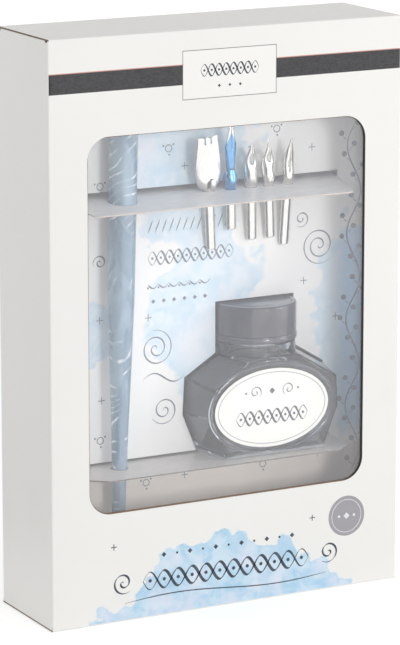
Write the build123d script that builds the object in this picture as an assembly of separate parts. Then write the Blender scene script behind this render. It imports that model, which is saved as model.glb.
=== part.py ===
from build123d import *
import os
from math import asin, cos, hypot, radians, sin, tan

# Calligraphy set in a window carton, standing upright.
# Millimetres. X runs right along the front wall, Y runs from front to back, Z is up.
# The origin is the centre of the carton's footprint, on the surface it stands on.

# ---- carton, folding boxboard ----
box_width = 134.0
box_depth = 39.5
box_height = 200.0
board = 0.5                    # thickness of the carton board
crease_radius = 0.45           # outer rounding of a folded edge
corner_relief = 2.0            # rounded rear top corner of each side wall
window_width = 106.0
window_height = 128.5
window_bottom = 38.2           # height of the window's lower edge
window_radius = 8.0
film = 0.15                    # thickness of the clear film behind the window
film_margin = 7.0              # glued border of the film round the window
lid_side_gap = 0.4             # the lid is this much short of each side wall
lid_rear_gap = 0.2             # gap between the lid's rear fold and the back wall
back_top_gap = 0.3             # the back wall stops this much below the lid's underside
tuck_length = 12.0
tuck_tilt = 16.0               # degrees that the tuck flap leans inwards when closed
tuck_side_gap = 5.5
tuck_radius = 5.0
dust_length = 28.0
dust_mitre = 30.0              # degrees, front edge of a dust flap, clears the opening lid
dust_front_gap = 1.45
dust_rear_gap = 3.0            # leaves room for the tuck flap to swing past
dust_rear_taper = 2.5
dust_radius = 3.0
glue_width = 12.0
glue_end_gap = 2.5
glue_mitre = 4.0               # cut corners of the side seam
bottom_dust_length = 32.0
bottom_flap_gap = 0.3

# ---- printed backdrop, bent forwards at both sides ----
liner_board = 0.45
liner_setback = 20.45          # front wall's inner face to the backdrop's front face
liner_bend = 11.0              # outer radius of the two side bends
liner_side_gap = 0.3
liner_front_gap = 0.45         # wings to the front wall's inner face
liner_top_gap = 1.5            # top edge to the dust flaps

# ---- grey shelf card: rear panel with two shelves folded forwards ----
shelf_board = 0.45
shelf_rear_gap = 0.7           # rear panel to the back wall
shelf_film_gap = 0.35          # shelf front edges to the front wall's inner face
upper_shelf_z = 140.1          # top of the upper shelf at its front edge
upper_shelf_droop = 6.0        # degrees, the loaded upper shelf sags forwards
upper_half_rear = 54.0
upper_half_front = 49.2
upper_corner = 2.0
upper_slot_height = 2.3
lower_shelf_z = 49.4           # top of the lower shelf
lower_half = 51.6
lower_chamfer_x = 7.0
lower_chamfer_y = 5.4
lower_slot_height = 1.3
slot_side_gap = 0.4
hole_clearance = 0.35

# ---- pen holder, turned and tapered, thick end up ----
holder_x = -32.85              # where its axis crosses the upper shelf
holder_y = -5.4
holder_lean = 1.1              # degrees, the thick end leans right
holder_tail_z = 9.0            # height of the thin end
holder_length = 167.0
holder_stations = [            # share of the length from the thin end, radius
    (0.01, 1.75), (0.08, 2.15), (0.21, 2.5), (0.34, 3.05), (0.47, 3.85),
    (0.60, 4.5), (0.78, 4.75), (0.97, 5.0)]
holder_tail_radius = 0.9
holder_rim = 0.8               # bevel at the thick end
socket_radius = 3.3
socket_depth = 17.0
ferrule_clearance = 0.04
ferrule_wall = 0.3
ferrule_lip = 0.9
prong_radius = 2.2
prong_length = 14.0
prong_slot = 1.0

# ---- nibs, pressed from thin steel, standing in slots of the upper shelf ----
nib_sheet = 0.3
sheet_chords = 10              # flats that the curve of the sheet is pressed in
nib_standoff = 5.2             # crown of the nibs to the backdrop, at the shelf
nib_tilt = 8.0                 # degrees, tips lean towards the window
nib_slot_clearance = 0.25
slit = 0.16
# each nib: place along the shelf, lean to the left in degrees, the sections of its sheet
# as (height above the shelf, half width, how far the edges curl back), and the breather
# hole at the slit's foot as (height above the shelf, radius)
shank = (2.05, 1.4)
nibs = {
    "nib_poster": dict(x=1.3, lean=6.7, sections=[
        (-21.4, 1.75, 1.2), (-19.0, *shank), (0.6, *shank), (2.2, 3.3, 1.6),
        (5.0, 4.25, 1.2), (9.5, 4.3, 0.8), (14.0, 3.85, 0.6), (18.9, 3.25, 0.45)]),
    "nib_diamond": dict(x=9.8, lean=5.3, sections=[
        (-14.8, 1.75, 1.2), (-12.8, *shank), (0.4, *shank), (1.6, 2.4, 1.9),
        (4.2, 2.3, 1.8), (6.4, 1.4, 0.9), (8.2, 1.45, 0.7), (15.2, 2.0, 0.6),
        (18.8, 1.15, 0.4), (22.1, 0.28, 0.06)], hole=(14.5, 0.35)),
    "nib_round": dict(x=17.8, lean=5.2, sections=[
        (-19.2, 1.75, 1.2), (-17.2, *shank), (0.6, *shank), (3.2, 2.3, 1.5),
        (7.2, 2.3, 1.2), (10.2, 1.75, 0.8), (13.4, 0.85, 0.35), (16.2, 0.26, 0.06)],
        hole=(9.6, 0.75)),
    "nib_oval": dict(x=24.7, lean=6.2, sections=[
        (-19.1, 1.75, 1.2), (-17.1, *shank), (0.4, *shank), (1.4, 1.6, 1.1),
        (4.0, 1.95, 1.3), (8.6, 1.9, 1.1), (11.4, 1.3, 0.6), (14.2, 0.65, 0.25),
        (16.4, 0.26, 0.06)], hole=(9.8, 0.65)),
    "nib_slim": dict(x=32.0, lean=1.0, sections=[
        (-22.1, 1.75, 1.2), (-20.1, *shank), (0.4, *shank), (2.4, 1.7, 1.3),
        (8.0, 1.55, 1.1), (12.0, 1.1, 0.6), (16.0, 0.26, 0.06)], hole=(9.0, 0.45)),
}
tooth_gap = 0.5                # the poster nib's two gaps between its three teeth
tooth_pitch = 2.3
tooth_depth = 2.6
tongue_width = 3.2             # small strip that holds ink on the poster nib
tongue_height = 4.6
tongue_thickness = 0.45
tongue_root = 0.9              # the tongue's block reaches this far back before it is fitted

# ---- faceted ink bottle on the lower shelf ----
bottle_x = 21.5
bottle_y = 1.8
bottle_half_depth = 16.0
bottle_corner = 1.2            # rounding of the front and rear facet edges
glass_wall = 2.4
# outline of the flat front as (half width, height), from the base up
front_outline = [(19.0, 0.0), (24.9, 14.5), (24.3, 25.2), (9.0, 34.6)]
bottle_bevel = 2.9             # how far the facets widen from the front to the middle
collar_radius = 14.5
collar_low = 31.5
collar_top = 38.3
neck_radius = 12.1
neck_bore = 9.6
neck_top = 48.6
ink_level = 24.0
ink_gap = 0.1
label_width = 44.6
label_height = 27.6
label_thickness = 0.12
label_shift = -1.6             # the label was stuck on a little to the left
label_z = 16.9                 # its centre above the base
cap_radius = 15.0
cap_bottom = 38.9
cap_top = 51.9
cap_clearance = 0.3
cap_ceiling = 1.6
cap_bevel = 0.5
seal_thickness = 0.9
seal_radius = 11.6
cap_travel = 0.5               # how far the cap can rise before it meets the backdrop
cutout_clearance = 0.5

# ---- planes and heights that follow from the sizes above ----
half_width = box_width / 2
half_depth = box_depth / 2
crease = min(crease_radius, 0.9 * board)
wall_x = half_width - board            # inner face of a side wall
wall_y = half_depth - board            # inner face of the front or back wall
floor_top = 3 * board                  # three layers of bottom flaps
lid_under = box_height - board
dust_under = lid_under - board
lid_rear = wall_y - lid_rear_gap
liner_front = -wall_y + liner_setback
liner_back = liner_front + liner_board
liner_top = dust_under - liner_top_gap
shelf_front = -wall_y + shelf_film_gap
shelf_rear = wall_y - shelf_rear_gap
droop = radians(upper_shelf_droop)
upper_fold_z = upper_shelf_z + (shelf_rear - shelf_front) * tan(droop)
nib_y = liner_front - nib_standoff
cut_depth = 8 * shelf_board            # reach of the cutters for holes and slots


def upper_shelf_height(y):
    """Height of the upper shelf's top face at a distance y."""
    return upper_shelf_z + (y - shelf_front) * tan(droop)


def block(x0, x1, y0, y1, z0, z1):
    """A box between two opposite corners."""
    centre = Pos((x0 + x1) / 2, (y0 + y1) / 2, (z0 + z1) / 2)
    return centre * Box(x1 - x0, y1 - y0, z1 - z0)


def polygon(points):
    """A face in the XY plane through a closed list of corners."""
    return make_face(Polyline(*points, close=True))


def mirrored(half):
    """A list of (half width, height) as a closed outline, left and right alike."""
    right = [(w, z) for w, z in half]
    left = [(-w, z) for w, z in reversed(half)]
    return right + left


def crossing(first, second):
    """Where two lines cross, each given as a point and a direction."""
    (x0, z0), (u0, w0) = first
    (x1, z1), (u1, w1) = second
    along = ((x1 - x0) * w1 - (z1 - z0) * u1) / (u0 * w1 - w0 * u1)
    return x0 + along * u0, z0 + along * w0


def widened(half, grow, low, high):
    """A half outline whose edges have moved outwards by grow, cut off at two heights."""
    lines = [((0, low), (1, 0))]
    for (x0, z0), (x1, z1) in zip(half, half[1:]):
        length = hypot(x1 - x0, z1 - z0)
        out_x = (z1 - z0) / length
        out_z = (x0 - x1) / length
        lines.append(((x0 + grow * out_x, z0 + grow * out_z), (x1 - x0, z1 - z0)))
    lines.append(((0, high), (1, 0)))
    return [crossing(a, b) for a, b in zip(lines, lines[1:])]


# ---- carton ----
def front_panel():
    panel = block(-half_width, half_width, -half_depth, -wall_y, board, lid_under)
    folds = panel.edges().filter_by(Axis.Z).group_by(Axis.Y)[0]
    panel = fillet(folds, crease)
    middle = window_bottom + window_height / 2
    opening = Pos(0, middle) * RectangleRounded(window_width, window_height, window_radius)
    return panel - extrude(Plane.XZ * opening, box_depth, both=True)


def back_panel():
    panel = block(-half_width, half_width, wall_y, half_depth, 2 * board, lid_under - back_top_gap)
    folds = panel.edges().filter_by(Axis.Z).group_by(Axis.Y)[-1]
    return fillet(folds, crease)


def left_panel():
    panel = block(-half_width, -wall_x, -wall_y, wall_y, floor_top, dust_under)
    rear_top = panel.edges().filter_by(Axis.X).group_by(Axis.Z)[-1].sort_by(Axis.Y)[-1]
    return fillet(rear_top, corner_relief)


def right_panel():
    return mirror(left_panel(), about=Plane.YZ)


def glue_flap():
    """The side seam: a strip folded off the back wall, glued inside the right wall."""
    low = floor_top + glue_end_gap
    high = dust_under - glue_end_gap
    strip = block(wall_x - board, wall_x, wall_y - glue_width, wall_y, low, high)
    ends = strip.edges().filter_by(Axis.X).group_by(Axis.Y)[0]
    return chamfer(ends, glue_mitre)


def bottom_flap_left():
    front = -wall_y + bottom_flap_gap
    return block(-half_width, -half_width + bottom_dust_length, front, -front, 2 * board, floor_top)


def bottom_flap_right():
    return mirror(bottom_flap_left(), about=Plane.YZ)


def bottom_flap_back():
    front = -wall_y + bottom_flap_gap
    return block(-half_width, half_width, front, half_depth, board, 2 * board)


def bottom_flap_front():
    flap = block(-half_width, half_width, -half_depth, half_depth, 0, board)
    fold = flap.edges().filter_by(Axis.X).group_by(Axis.Z)[0].sort_by(Axis.Y)[0]
    return fillet(fold, crease)


def window_film():
    half = window_width / 2 + film_margin
    low = window_bottom - film_margin
    high = window_bottom + window_height + film_margin
    return block(-half, half, -wall_y, -wall_y + film, low, high)


def lid_panel():
    half = half_width - lid_side_gap
    panel = block(-half, half, -half_depth, lid_rear, lid_under, box_height)
    fold = panel.edges().filter_by(Axis.X).group_by(Axis.Z)[-1].sort_by(Axis.Y)[0]
    return fillet(fold, crease)


def tuck_flap():
    """Hangs from the lid's rear fold, leaning inwards, its lower corners rounded."""
    half = wall_x - tuck_side_gap
    flap = block(-half, half, -board, 0, -tuck_length, 0)
    corners = flap.edges().filter_by(Axis.Y).group_by(Axis.Z)[0]
    flap = fillet(corners, min(tuck_radius, 0.9 * tuck_length))
    flap = Pos(0, lid_rear, lid_under) * Rot(X=-tuck_tilt) * flap
    above = block(-half_width, half_width, -half_depth, half_depth, lid_under, box_height)
    return flap - above


def dust_flap_left():
    """Folds in from the side wall under the lid; its front edge is mitred."""
    root_front = -wall_y + dust_front_gap
    root_rear = wall_y - dust_rear_gap
    tip_front = root_front + dust_length * tan(radians(dust_mitre))
    tip = -half_width + dust_length
    outline = polygon([(-half_width, root_front), (tip, tip_front),
                       (tip, root_rear - dust_rear_taper), (-half_width, root_rear)])
    outline = fillet(outline.vertices().group_by(Axis.X)[-1], dust_radius)
    return Pos(0, 0, dust_under) * extrude(outline, board)


def dust_flap_right():
    return mirror(dust_flap_left(), about=Plane.YZ)


# ---- insert ----
def bottle_cutout():
    """The hole in the backdrop: the bottle's outline with its cap, grown by a clearance."""
    gap = cutout_clearance
    half = widened(front_outline, bottle_bevel + gap, -shelf_board, front_outline[-1][1])
    cap_half = max(cap_radius, collar_radius) + gap
    half += [(cap_half, half[-1][1]), (cap_half, cap_top + cap_travel + gap / 2)]
    outline = Pos(bottle_x, lower_shelf_z) * polygon(mirrored(half))
    return extrude(Plane.XZ * outline, box_depth, both=True)


def backdrop_liner():
    outer_half = wall_x - liner_side_gap
    front = -wall_y + liner_front_gap
    height = liner_top - floor_top

    def sleeve(half, back, radius):
        sheet = Pos(0, (front + back) / 2) * Rectangle(2 * half, back - front)
        return fillet(sheet.vertices().group_by(Axis.Y)[-1], radius)

    profile = sleeve(outer_half, liner_back, liner_bend)
    profile -= sleeve(outer_half - liner_board, liner_front, liner_bend - liner_board)
    liner = Pos(0, 0, floor_top) * extrude(profile, height)
    half = upper_half_rear + slot_side_gap
    under = upper_shelf_height(liner_front) - shelf_board / cos(droop)
    y0, y1 = liner_front - 1, liner_back + 1
    liner -= block(-half, half, y0, y1, under, under + upper_slot_height)
    half = lower_half + slot_side_gap
    under = lower_shelf_z - shelf_board
    liner -= block(-half, half, y0, y1, under, under + lower_slot_height)
    return liner - bottle_cutout()


def shelf_card():
    """Rear panel standing by the back wall, with both shelves folded forwards."""
    reach = (shelf_rear - shelf_front) / cos(droop)
    straight = (shelf_rear - liner_front) / cos(droop)
    upper = polygon([(-upper_half_rear, 0), (-upper_half_rear, -straight), (-upper_half_front, -reach),
                     (upper_half_front, -reach), (upper_half_rear, -straight), (upper_half_rear, 0)])
    upper = fillet(upper.vertices().group_by(Axis.Y)[0], upper_corner)
    upper = extrude(upper, -shelf_board)
    upper = Pos(0, shelf_rear, upper_fold_z) * Rot(X=upper_shelf_droop) * upper
    side_end = shelf_front + lower_chamfer_y
    tip = lower_half - lower_chamfer_x
    lower = polygon([(-lower_half, shelf_rear), (-lower_half, side_end), (-tip, shelf_front),
                     (tip, shelf_front), (lower_half, side_end), (lower_half, shelf_rear)])
    lower = Pos(0, 0, lower_shelf_z) * extrude(lower, -shelf_board)
    low = lower_shelf_z - shelf_board
    rear = block(-lower_half, lower_half, shelf_rear - shelf_board, shelf_rear,
                 low, upper_fold_z - shelf_board / 2)
    card = upper + lower + rear
    card -= holder_hole(upper_shelf_height(holder_y))
    card -= holder_hole(lower_shelf_z)
    for name in nibs:
        card -= nib_slot(name)
    return card


# ---- pen holder ----
def holder_frame():
    """Places the holder, whose own Z axis starts at its thin end."""
    shelf = upper_shelf_height(holder_y)
    lean = radians(holder_lean)
    rise = (shelf - holder_tail_z) / cos(lean)
    return Pos(holder_x, holder_y, shelf) * Rot(Y=holder_lean) * Pos(0, 0, -rise)


def holder_radius(height):
    """Radius of the turned barrel at a height above its thin end."""
    share = height / holder_length
    for (low, thin), (high, thick) in zip(holder_stations, holder_stations[1:]):
        if share <= high:
            return thin + (thick - thin) * (share - low) / (high - low)
    return holder_stations[-1][1]


def holder_hole(z):
    """A hole for the holder through the shelf at height z."""
    height = (z - holder_tail_z) / cos(radians(holder_lean))
    radius = holder_radius(height) + hole_clearance
    return holder_frame() * Pos(0, 0, height) * Cylinder(radius, cut_depth)


def pen_holder():
    side = [(radius, share * holder_length) for share, radius in holder_stations]
    thick = side[-1][0]
    tip = side[0][1] / 4
    tail = RadiusArc((0, 0), (holder_tail_radius, tip), -2 * holder_tail_radius)
    end = [(thick, holder_length), (0, holder_length), (0, 0)]
    barrel = Polyline((holder_tail_radius, tip), *side, *end)
    body = revolve(Plane.XZ * make_face([tail, barrel]), Axis.Z)
    rim = body.edges().filter_by(GeomType.CIRCLE).group_by(Axis.Z)[-1]
    body = chamfer(rim, holder_rim)
    socket = Pos(0, 0, holder_length - socket_depth / 2) * Cylinder(socket_radius, socket_depth)
    return holder_frame() * (body - socket)


def nib_ferrule():
    """Thin metal cup that lines the socket, with a lip on the holder's end."""
    outer = socket_radius - ferrule_clearance
    inner = outer - ferrule_wall
    floor = holder_length - socket_depth
    cup = Pos(0, 0, floor + socket_depth / 2) * Cylinder(outer, socket_depth)
    lip_height = holder_length + ferrule_wall / 2
    cup += Pos(0, 0, lip_height) * Cylinder(socket_radius + ferrule_lip, ferrule_wall)
    hollow = socket_depth + ferrule_wall
    cup -= Pos(0, 0, floor + ferrule_wall + hollow / 2) * Cylinder(inner, hollow)
    return holder_frame() * cup


def nib_prongs():
    """Four springy fingers on a disc inside the ferrule; a nib slides in round them."""
    base = holder_length - socket_depth + ferrule_wall
    inner = socket_radius - ferrule_clearance - ferrule_wall
    disc = Pos(0, 0, base + ferrule_wall / 2) * Cylinder(inner - ferrule_clearance, ferrule_wall)
    tube = Pos(0, 0, base + prong_length / 2) * Cylinder(prong_radius, prong_length)
    tube -= Pos(0, 0, base + prong_length / 2) * Cylinder(prong_radius - ferrule_wall, prong_length)
    for turn in (0, 90):
        cutter = Box(3 * prong_radius, prong_slot, prong_length)
        tube -= Pos(0, 0, base + 2 * ferrule_wall + prong_length / 2) * Rot(Z=turn) * cutter
    return holder_frame() * (disc + tube)


# ---- nibs ----
def nib_frame(name):
    """Places a nib: its own origin is where its crown passes through the upper shelf."""
    nib = nibs[name]
    return Pos(nib["x"], nib_y, upper_shelf_height(nib_y)) * Rot(X=nib_tilt, Y=-nib["lean"])


def sheet_section(half, curl, z):
    """Cross-section of the curved sheet: crown in front, both edges curled back."""
    radius = (half ** 2 + curl ** 2) / (2 * curl)
    reach = asin(half / radius)
    turns = [reach * (2 * i / sheet_chords - 1) for i in range(sheet_chords + 1)]
    crown = [(radius * sin(turn), radius * (1 - cos(turn))) for turn in turns]
    rear = [(x, y + nib_sheet) for x, y in reversed(crown)]
    return Pos(0, 0, z) * polygon(crown + rear)


def nib_blank(name):
    faces = [sheet_section(half, curl, z) for z, half, curl in nibs[name]["sections"]]
    return loft(faces, ruled=True)


def nib_slot(name):
    """Curved slot in the shelf that follows the nib's shank."""
    section = offset(sheet_section(*shank, 0), nib_slot_clearance)
    return nib_frame(name) * Pos(0, 0, -cut_depth / 2) * extrude(section, cut_depth)


def through(width, z0, z1, x=0.0):
    """A cutter through the sheet from front to back."""
    return block(x - width / 2, x + width / 2, -cut_depth, cut_depth, z0, z1)


def nib_poster():
    """Broad nib whose edge is cut into three teeth."""
    nib = nib_blank("nib_poster")
    tip = nibs["nib_poster"]["sections"][-1][0]
    for side in (-1, 1):
        nib -= through(tooth_gap, tip - tooth_depth, tip + 1, side * tooth_pitch / 2)
    return nib_frame("nib_poster") * nib


def nib_reservoir():
    """Short tongue on the poster nib's foot, seated on the curved sheet."""
    straight = tongue_height - tongue_width / 2
    shape = Pos(0, straight / 2) * Rectangle(tongue_width, straight)
    shape += Pos(0, straight) * Circle(tongue_width / 2)
    tongue = extrude(Plane.XZ * shape, tongue_thickness + tongue_root)
    tongue = Pos(0, tongue_root, shelf_board) * tongue
    pieces = (tongue - nib_blank("nib_poster")).solids().sort_by(Axis.Y)
    return nib_frame("nib_poster") * pieces[0]


def pointed_nib(name):
    """A nib with a slit from its point to a breather hole."""
    height, radius = nibs[name]["hole"]
    tip = nibs[name]["sections"][-1][0]
    nib = nib_blank(name) - through(slit, height, tip + 1)
    nib -= Pos(0, 0, height) * Rot(X=90) * Cylinder(radius, 2 * cut_depth)
    return nib_frame(name) * nib


def nib_diamond():
    return pointed_nib("nib_diamond")


def nib_round():
    return pointed_nib("nib_round")


def nib_oval():
    return pointed_nib("nib_oval")


def nib_slim():
    return pointed_nib("nib_slim")


# ---- ink bottle ----
def bottle_frame():
    return Pos(bottle_x, bottle_y, lower_shelf_z)


def faceted(rings):
    """A closed solid through rings of corners, with a flat facet between each pair of edges."""
    faces = [polygon(rings[0]), polygon(rings[-1])]
    for near, far in zip(rings, rings[1:]):
        for i in range(len(near)):
            faces.append(polygon([near[i - 1], near[i], far[i], far[i - 1]]))
    return Solid(Shell(faces))


def bottle_body(inset=0.0):
    """The faceted body: flat front and back outlines, widest halfway between them."""
    top = front_outline[-1][1] - inset
    narrow = mirrored(widened(front_outline, -inset, inset, top))
    wide = mirrored(widened(front_outline, bottle_bevel - inset, inset, top))
    depth = bottle_half_depth - inset
    rings = [(narrow, -depth), (wide, 0), (narrow, depth)]
    return faceted([[(x, y, z) for x, z in outline] for outline, y in rings])


def neck(radius, z0, z1):
    return Pos(0, 0, (z0 + z1) / 2) * Cylinder(radius, z1 - z0)


def bottle_glass():
    body = bottle_body()
    front = body.faces().sort_by(Axis.Y)[0].edges()
    back = body.faces().sort_by(Axis.Y)[-1].edges()
    body = fillet(front + back, bottle_corner)
    body += neck(collar_radius, collar_low, collar_top)
    body += neck(neck_radius, collar_top, neck_top)
    cavity = bottle_body(glass_wall) + neck(neck_bore, collar_low - glass_wall, neck_top)
    return bottle_frame() * (body - cavity)


def ink_fill():
    ink = bottle_body(glass_wall + ink_gap)
    limit = 2 * front_outline[1][0]
    ink -= block(-limit, limit, -bottle_half_depth, bottle_half_depth, ink_level, cap_top)
    return bottle_frame() * ink


def bottle_label():
    shape = Pos(label_shift, label_z) * Ellipse(label_width / 2, label_height / 2)
    front = -bottle_half_depth
    label = extrude(Plane.XZ.offset(-front) * shape, label_thickness)
    return bottle_frame() * label


def bottle_cap():
    height = cap_top - cap_bottom
    shell = neck(cap_radius, cap_bottom, cap_top)
    rim = shell.edges().group_by(Axis.Z)[-1]
    shell = chamfer(rim, cap_bevel)
    hollow = height - cap_ceiling
    shell -= neck(neck_radius + cap_clearance, cap_bottom, cap_bottom + hollow)
    return bottle_frame() * shell


def cap_seal():
    top = cap_top - cap_ceiling
    return bottle_frame() * neck(seal_radius, top - seal_thickness, top)


makers = [
    front_panel, back_panel, left_panel, right_panel, glue_flap,
    bottom_flap_left, bottom_flap_right, bottom_flap_back, bottom_flap_front,
    window_film, lid_panel, tuck_flap, dust_flap_left, dust_flap_right,
    backdrop_liner, shelf_card,
    pen_holder, nib_ferrule, nib_prongs,
    nib_poster, nib_reservoir, nib_diamond, nib_round, nib_oval, nib_slim,
    bottle_glass, ink_fill, bottle_label, bottle_cap, cap_seal,
]

os.makedirs("parts", exist_ok=True)
for maker in makers:
    solid = maker()
    solid.label = maker.__name__
    export_step(solid, "parts/" + maker.__name__ + ".step")
    print(maker.__name__, round(solid.volume, 2))
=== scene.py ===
from math import asin, atan2, cos, exp, hypot, pi, radians, sin, tan

import bmesh
import bpy
from mathutils import Matrix, Vector
from mathutils.geometry import delaunay_2d_cdt


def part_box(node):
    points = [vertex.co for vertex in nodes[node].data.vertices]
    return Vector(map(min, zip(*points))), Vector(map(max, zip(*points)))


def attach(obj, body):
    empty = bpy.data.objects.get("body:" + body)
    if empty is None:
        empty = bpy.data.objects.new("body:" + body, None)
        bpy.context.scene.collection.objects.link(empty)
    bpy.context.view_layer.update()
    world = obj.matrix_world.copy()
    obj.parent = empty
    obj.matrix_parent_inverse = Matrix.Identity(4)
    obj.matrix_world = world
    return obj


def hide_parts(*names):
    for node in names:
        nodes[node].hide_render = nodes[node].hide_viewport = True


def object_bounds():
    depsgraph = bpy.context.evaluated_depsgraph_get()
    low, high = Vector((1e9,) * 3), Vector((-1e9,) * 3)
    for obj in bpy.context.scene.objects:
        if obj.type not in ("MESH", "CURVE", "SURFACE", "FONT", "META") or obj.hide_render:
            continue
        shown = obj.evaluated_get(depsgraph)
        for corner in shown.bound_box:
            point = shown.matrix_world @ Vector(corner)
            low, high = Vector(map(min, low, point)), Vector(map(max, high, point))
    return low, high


# A calligraphy set in a window carton. Metres in the carton's own frame: X right along the
# front wall, Y from front to back, Z up. Sizes named here are millimetres, and MM scales them.
MM = 0.001
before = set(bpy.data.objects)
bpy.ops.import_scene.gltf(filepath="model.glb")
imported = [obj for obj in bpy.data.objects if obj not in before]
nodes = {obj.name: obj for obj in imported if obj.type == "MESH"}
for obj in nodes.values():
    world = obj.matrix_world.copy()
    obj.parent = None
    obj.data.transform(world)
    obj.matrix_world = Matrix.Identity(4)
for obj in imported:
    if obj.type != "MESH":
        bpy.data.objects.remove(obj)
cad_low, cad_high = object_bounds()
centre = (cad_low + cad_high) / 2
carton_height = cad_high.z - cad_low.z

# ---- camera, fitted to the carton's corners and window in the photograph ----
PHOTO_WIDTH, PHOTO_HEIGHT = 400, 645      # pixels
SENSOR = 36.0
camera_azimuth = -28.12                   # degrees, seen from the front left
camera_elevation = 11.63
camera_distance = 5.794                   # in carton heights, as the next two
camera_aside = -0.0026
camera_up = 0.0812
focal_pixels = 3375.4
shift_pixels = -60


def add_camera():
    a, e = radians(camera_azimuth), radians(camera_elevation)
    back = Vector((sin(a) * cos(e), -cos(a) * cos(e), sin(e)))
    right = Vector((cos(a), sin(a), 0))
    up = back.cross(right)
    camera = bpy.data.objects.new("camera", bpy.data.cameras.new("camera"))
    bpy.context.scene.collection.objects.link(camera)
    offset = back * camera_distance + right * camera_aside + up * camera_up
    camera.location = centre + offset * carton_height
    camera.rotation_mode = "QUATERNION"
    camera.rotation_quaternion = (-back).to_track_quat("-Z", "Y")
    camera.data.sensor_width = SENSOR
    camera.data.lens = focal_pixels * SENSOR / PHOTO_HEIGHT
    camera.data.shift_y = shift_pixels / PHOTO_HEIGHT
    bpy.context.scene.camera = camera


# ---- light, floor and backdrop ----
world_level = 0.60
# each lamp: azimuth and elevation in degrees, size and distance in metres, and the share of a
# white's brightness that it adds on a wall that faces it
lamps = {
    "key_lamp": (6, 9, 0.55, 2.2, 0.24),
    "right_lamp": (60, 14, 0.6, 1.1, 0.24),
    "left_lamp": (-114, 12, 0.9, 2.2, 0.17),
}


def add_lamp(name, azimuth, elevation, size, distance, level):
    """A square lamp that looks at the carton."""
    a, e = radians(azimuth), radians(elevation)
    back = Vector((sin(a) * cos(e), -cos(a) * cos(e), sin(e)))
    data = bpy.data.lights.new(name, "AREA")
    data.size = size
    data.energy = level * pi ** 2 * distance ** 2
    lamp = bpy.data.objects.new(name, data)
    bpy.context.scene.collection.objects.link(lamp)
    lamp.location = centre + back * distance
    lamp.rotation_mode = "QUATERNION"
    lamp.rotation_quaternion = (-back).to_track_quat("-Z", "Y")


def add_light():
    world = bpy.data.worlds.new("studio")
    bpy.context.scene.world = world
    world.use_nodes = True
    tree = world.node_tree
    background = tree.nodes["Background"]
    background.inputs["Color"].default_value = (1, 1, 1, 1)
    level = tree.nodes.new("ShaderNodeMapRange")
    level.inputs["To Min"].default_value, level.inputs["To Max"].default_value = world_level, 1.0
    tree.links.new(seen_rays(tree), level.inputs["Value"])
    tree.links.new(level.outputs["Result"], background.inputs["Strength"])
    for name, values in lamps.items():
        add_lamp(name, *values)


def seen_rays(tree):
    """1 for what is seen, directly, in a mirror or through glass, and 0 for what lights."""
    rays = tree.nodes.new("ShaderNodeLightPath")
    total = rays.outputs["Is Camera Ray"]
    for kind in ("Is Glossy Ray", "Is Transmission Ray"):
        most = tree.nodes.new("ShaderNodeMath")
        most.operation = "MAXIMUM"
        tree.links.new(total, most.inputs[0])
        tree.links.new(rays.outputs[kind], most.inputs[1])
        total = most.outputs[0]
    return total


card_azimuths = (-31, -150)               # degrees
card_profile = [(0.13, 0.001), (0.5, 0.001), (0.5, 0.8)]    # radius and height, metres
card_steps = 12


def add_dark_card():
    """A black card to the left of the carton, for contrast in metal, glass and lacquer."""
    points = []
    for i in range(card_steps + 1):
        turn = radians(card_azimuths[0] + (card_azimuths[1] - card_azimuths[0]) * i / card_steps)
        points += [(r * sin(turn), -r * cos(turn), cad_low.z + z) for r, z in card_profile]
    rows = len(card_profile)
    faces = [(i * rows + k, (i + 1) * rows + k, (i + 1) * rows + k + 1, i * rows + k + 1)
             for i in range(card_steps) for k in range(rows - 1)]
    mesh = bpy.data.meshes.new("dark_card")
    mesh.from_pydata(points, [], faces)
    card = bpy.data.objects.new("dark_card", mesh)
    bpy.context.scene.collection.objects.link(card)
    material = bpy.data.materials.new("dark_card")
    material.use_nodes = True
    shader = material.node_tree.nodes["Principled BSDF"]
    shader.inputs["Base Color"].default_value = (0.04, 0.04, 0.045, 1)
    shader.inputs["Roughness"].default_value = 1.0
    mesh.materials.append(material)
    card.visible_camera = card.visible_diffuse = card.visible_shadow = False
    card.visible_transmission = card.visible_volume_scatter = False


floor_reach = 6.0                         # metres from the carton to the floor's edge
floor_lift = (0.34, 0.58)                 # how much brighter it is seen, near and far away
floor_near, floor_far = 0.35, 1.3         # metres from the carton


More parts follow.
